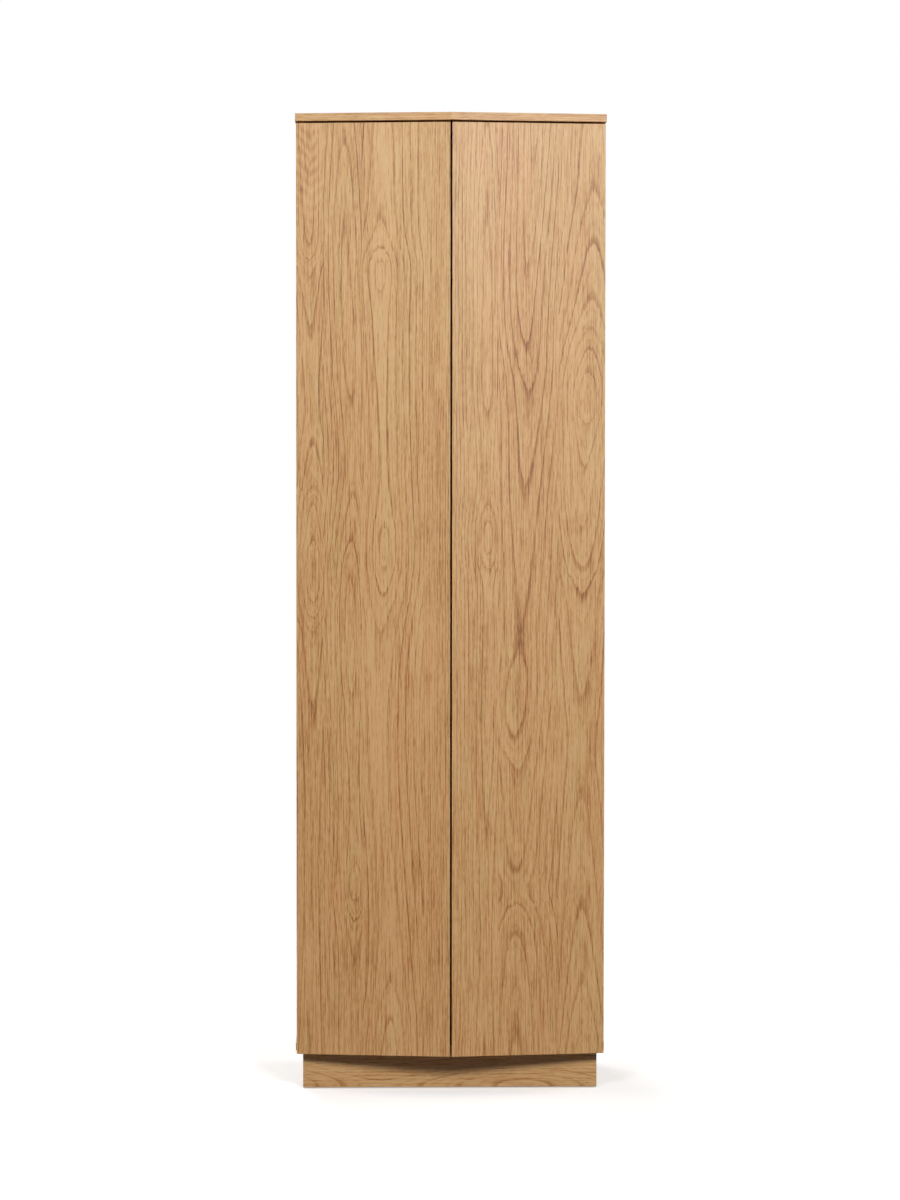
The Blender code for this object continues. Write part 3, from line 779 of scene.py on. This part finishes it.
def gather(name, part, placings, body, material):
    """One piece made of copies of a part, one at each placing."""
    shape = bmesh.new()
    for placing in placings:
        copy = part.copy()
        copy.transform(placing)
        shape.from_mesh(copy)
        bpy.data.meshes.remove(copy)
    mesh = mesh_of(shape, name)
    mesh.materials.clear()
    mesh.materials.append(material)
    mesh.shade_smooth()
    mesh.set_sharp_from_angle(angle=math.radians(35))
    return linked(name, mesh, body)


def hinge_height(number):
    low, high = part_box(f"hinge_cup_left_{number}")
    return (low.z + high.z) / 2


def plate_middle():
    """Y of the middle of every hinge plate."""
    low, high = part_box("hinge_plate_left_1")
    return (low.y + high.y) / 2


def hinge_screws():
    """Screws through the plates and the cups' flanges, and the two that adjust each arm."""
    middle = plate_middle()
    fixing = screw_head(0.0034, 0.0016)
    adjusting = screw_head(0.0028, 0.0009)
    for name, inward in SIDES:
        plates, arms, cups = [], [], []
        for number in HINGES:
            level = hinge_height(number)
            for end in (-1, 1):
                # No two recesses lie the same way
                turn = 0.7 * number + 0.9 * end
                spot = (-inward * (SIDE_INNER - PLATE_FRONT), middle, level + end * PLATE_SCREW_OFFSET)
                plates.append(facing(spot, (inward, 0, 0), turn))
                spot = (-inward * (SIDE_INNER - ARM_FRONT), middle + end * ARM_SCREW_OFFSET, level)
                arms.append(facing(spot, (inward, 0, 0), turn + 0.4))
                spot = on_door(inward, CUP_SCREW_ALONG, CUP_FLANGE_TOP, level + end * CUP_SCREW_OFFSET)
                rear = (inward * math.sin(FRONT_ANGLE), math.cos(FRONT_ANGLE), 0)
                cups.append(facing(spot, rear, turn + 0.8))
        gather(f"plate_screws_{name}", fixing, plates, "carcass", DARK_STEEL)
        gather(f"arm_screws_{name}", adjusting, arms, "carcass", DARK_STEEL)
        gather(f"cup_screws_{name}", fixing, cups, f"door_{name}", DARK_STEEL)


def pin_rows():
    """Y of the front and rear rows of shelf-pin holes."""
    return plate_middle(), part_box("back_panel_upper")[0].y - REAR_ROW_FROM_BACK


def pin_levels():
    """Z of the pins under each adjustable shelf."""
    undersides = [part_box(f"adjustable_shelf_{number}")[0].z for number in ADJUSTABLE_SHELVES]
    return [underside - PIN_HOLE_RADIUS - PIN_HOLE_BELOW_SHELF for underside in undersides]


def shelf_pins():
    collar = [(0.0035, 0.0), (0.0035, 0.0010)]
    shank = [(0.0024, 0.0011), (0.0024, PIN_REACH - 0.0004), (0.0020, PIN_REACH)]
    pin = mesh_of(lathe(collar + shank, 18), "shelf_pin")
    for name, inward in SIDES:
        placings = [
            facing((-inward * (SIDE_INNER - 0.0001), y, level), (inward, 0, 0))
            for level in pin_levels()
            for y in pin_rows()
        ]
        gather(f"shelf_pins_{name}", pin, placings, "carcass", STEEL)


def pin_hole_cutter(inward):
    """Cylinders for the pin holes, above and below each adjustable shelf, but none under a hinge plate."""
    shape = bmesh.new()
    plates = [hinge_height(number) for number in HINGES]
    front, rear = pin_rows()
    for level in pin_levels():
        for step in range(-HOLES_EACH_WAY, HOLES_EACH_WAY + 1):
            height = level + step * PIN_HOLE_PITCH
            for y in (front, rear):
                if y == front and min(abs(height - plate) for plate in plates) < NO_HOLE_NEAR_HINGE:
                    continue
                placing = facing((-inward * SIDE_INNER, y, height), (inward, 0, 0))
                bmesh.ops.create_cone(
                    shape,
                    cap_ends=True,
                    segments=16,
                    radius1=PIN_HOLE_RADIUS,
                    radius2=PIN_HOLE_RADIUS,
                    depth=2 * PIN_HOLE_DEPTH,
                    matrix=placing,
                )
    return mesh_of(shape, "pin_holes")


def bracket_screws():
    """Two screws up into the top panel from each wall bracket, and one into the wall."""
    head = screw_head(0.0036, 0.0017)
    placings = []
    for name, _ in SIDES:
        low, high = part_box(f"wall_bracket_{name}")
        middle = (low.x + high.x) / 2
        for end in (-1, 1):
            across = middle + end * BRACKET_SCREW_OFFSET
            spot = (across, low.y + BRACKET_SCREW_FROM_FRONT, high.z - BRACKET_SCREW_SEAT)
            placings.append(facing(spot, (0, 0, -1), 0.5 * end))
        spot = (middle, high.y - BRACKET_SCREW_SEAT, low.z + BRACKET_SCREW_FROM_FOOT)
        placings.append(facing(spot, (0, -1, 0), 0.3))
    gather("bracket_screws", head, placings, "carcass", DARK_STEEL)


def cam_covers():
    """Caps over the cam fittings, under the top panel and the fixed shelf."""
    cap = mesh_of(lathe([(0.0085, 0.0), (0.0085, 0.0005), (0.0078, 0.0010), (0.002, 0.0011)], 28), "cap")
    placings = []
    for level in (TOP_UNDERSIDE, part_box("fixed_shelf")[0].z):
        for inward in (-1, 1):
            for y in CAP_ROWS:
                placings.append(facing((inward * (SIDE_INNER - CAP_FROM_SIDE), y, level), (0, 0, -1)))
    gather("cam_covers", cap, placings, "carcass", CAP_PLASTIC)


def bumpers():
    """Clear dots on the backs of the doors, where they meet the bottom panel."""
    dot = mesh_of(lathe([(0.0040, 0.0), (0.0039, 0.0007), (0.0030, 0.0013), (0.0012, 0.0016)], 20), "dot")
    for name, inward in SIDES:
        rear = (inward * math.sin(FRONT_ANGLE), math.cos(FRONT_ANGLE), 0)
        height = DOOR_LOW.z + BUMPER_FROM_FOOT
        spots = [on_door(inward, along, DOOR_REAR, height) for along in BUMPERS_ALONG]
        placings = [facing(spot, rear) for spot in spots]
        gather(f"bumpers_{name}", dot, placings, f"door_{name}", CLEAR_PLASTIC)


# Studio


def studio_floor():
    """A pale floor that fades out into the white surround well away from the cabinet."""
    bpy.ops.mesh.primitive_circle_add(vertices=96, radius=3.2, fill_type="NGON", location=(0, 0, 0))
    floor = bpy.context.object
    floor.name = "studio_floor"
    material, tree, shader = new_material("studio_floor")
    where = add(tree, "ShaderNodeTexCoord").outputs["Object"]
    distance = add(tree, "ShaderNodeVectorMath", where, operation="LENGTH").outputs["Value"]
    tree.links.new(remap(tree, distance, 0.7, 3.0, 1.0, 0.0), shader.inputs["Alpha"])
    speckle = noise(tree, where, 220.0, 3.0)
    colours = ((0.0, (0.86, 0.86, 0.86)), (1.0, (0.92, 0.92, 0.92)))
    tree.links.new(ramp(tree, plus(tree, speckle, 0.5), colours), shader.inputs["Base Color"])
    shader.inputs["Roughness"].default_value = 0.8
    shader.inputs["Specular IOR Level"].default_value = 0.2
    shader.inputs["Emission Color"].default_value = (1.0, 1.0, 1.0, 1.0)
    shader.inputs["Emission Strength"].default_value = 0.36
    floor.data.materials.append(material)
    floor.visible_diffuse = False


def surround():
    """White to look at, and a softer white as light."""
    world = bpy.data.worlds.new("studio")
    bpy.context.scene.world = world
    world.use_nodes = True
    tree = world.node_tree
    tree.nodes.clear()
    seen = add(tree, "ShaderNodeLightPath").outputs["Is Camera Ray"]
    direction = add(tree, "ShaderNodeTexCoord").outputs["Generated"]
    upward = add(tree, "ShaderNodeSeparateXYZ", direction).outputs["Z"]
    strength = remap(tree, upward, -0.1, 0.8, 0.02, 0.20)
    light = add(tree, "ShaderNodeBackground", (1.0, 0.99, 0.97, 1.0), strength)
    backdrop = add(tree, "ShaderNodeBackground", (1.0, 1.0, 1.0, 1.0), 1.0)
    mixed = add(tree, "ShaderNodeMixShader", seen, light.outputs[0], backdrop.outputs[0])
    add(tree, "ShaderNodeOutputWorld", mixed.outputs[0])


def softbox(name, place, target, size, power, diffuse=True):
    """A rectangular light. One with diffuse off is seen only in the gloss of the lacquer and the metal."""
    light = bpy.data.lights.new(name, "AREA")
    light.shape = "RECTANGLE"
    light.size, light.size_y = size
    light.energy = power
    lamp = bpy.data.objects.new(name, light)
    bpy.context.scene.collection.objects.link(lamp)
    lamp.location = place
    direction = Vector(target) - Vector(place)
    lamp.rotation_mode = "QUATERNION"
    lamp.rotation_quaternion = direction.to_track_quat("-Z", "Y")
    lamp.visible_diffuse = diffuse


def studio_light():
    softbox("key_softbox", (1.2, -4.7, 3.2), (0.0, -0.2, 1.1), (1.1, 1.1), 152.0)
    softbox("second_softbox", (-1.5, -4.5, 3.0), (0.0, -0.2, 1.1), (1.1, 1.1), 65.0)
    softbox("gloss_softbox", (1.35, -6.2, 3.3), (0.0, -0.2, 1.6), (3.0, 1.0), 115.0, diffuse=False)
    softbox("left_fill", (-3.4, 0.6, 1.9), (0.0, 0.2, 1.1), (1.5, 2.2), 34.0)
    softbox("right_fill", (3.4, 0.9, 1.9), (0.0, 0.2, 1.1), (1.5, 2.2), 38.0)
    softbox("rear_fill", (-1.2, 4.0, 2.4), (0.0, 0.2, 1.0), (1.8, 1.8), 90.0)


def camera():
    """Eye-level view from eight metres in front of the doors, a little left of the centre."""
    data = bpy.data.cameras.new("camera")
    data.sensor_width = 36.0
    data.lens = 116.52
    data.clip_end = 100.0
    eye = bpy.data.objects.new("camera", data)
    bpy.context.scene.collection.objects.link(eye)
    eye.location = (-0.196, -8.178, 1.332)
    yaw, pitch, roll = 0.0243, -0.0394, -0.0008
    eye.rotation_euler = (math.pi / 2 + pitch, roll, -yaw)
    bpy.context.scene.camera = eye


carcass_boards()
doors()
hardware()
hinge_screws()
shelf_pins()
bracket_screws()
cam_covers()
bumpers()
studio_floor()
surround()
studio_light()
camera()
bpy.context.scene.view_settings.view_transform = "Standard"
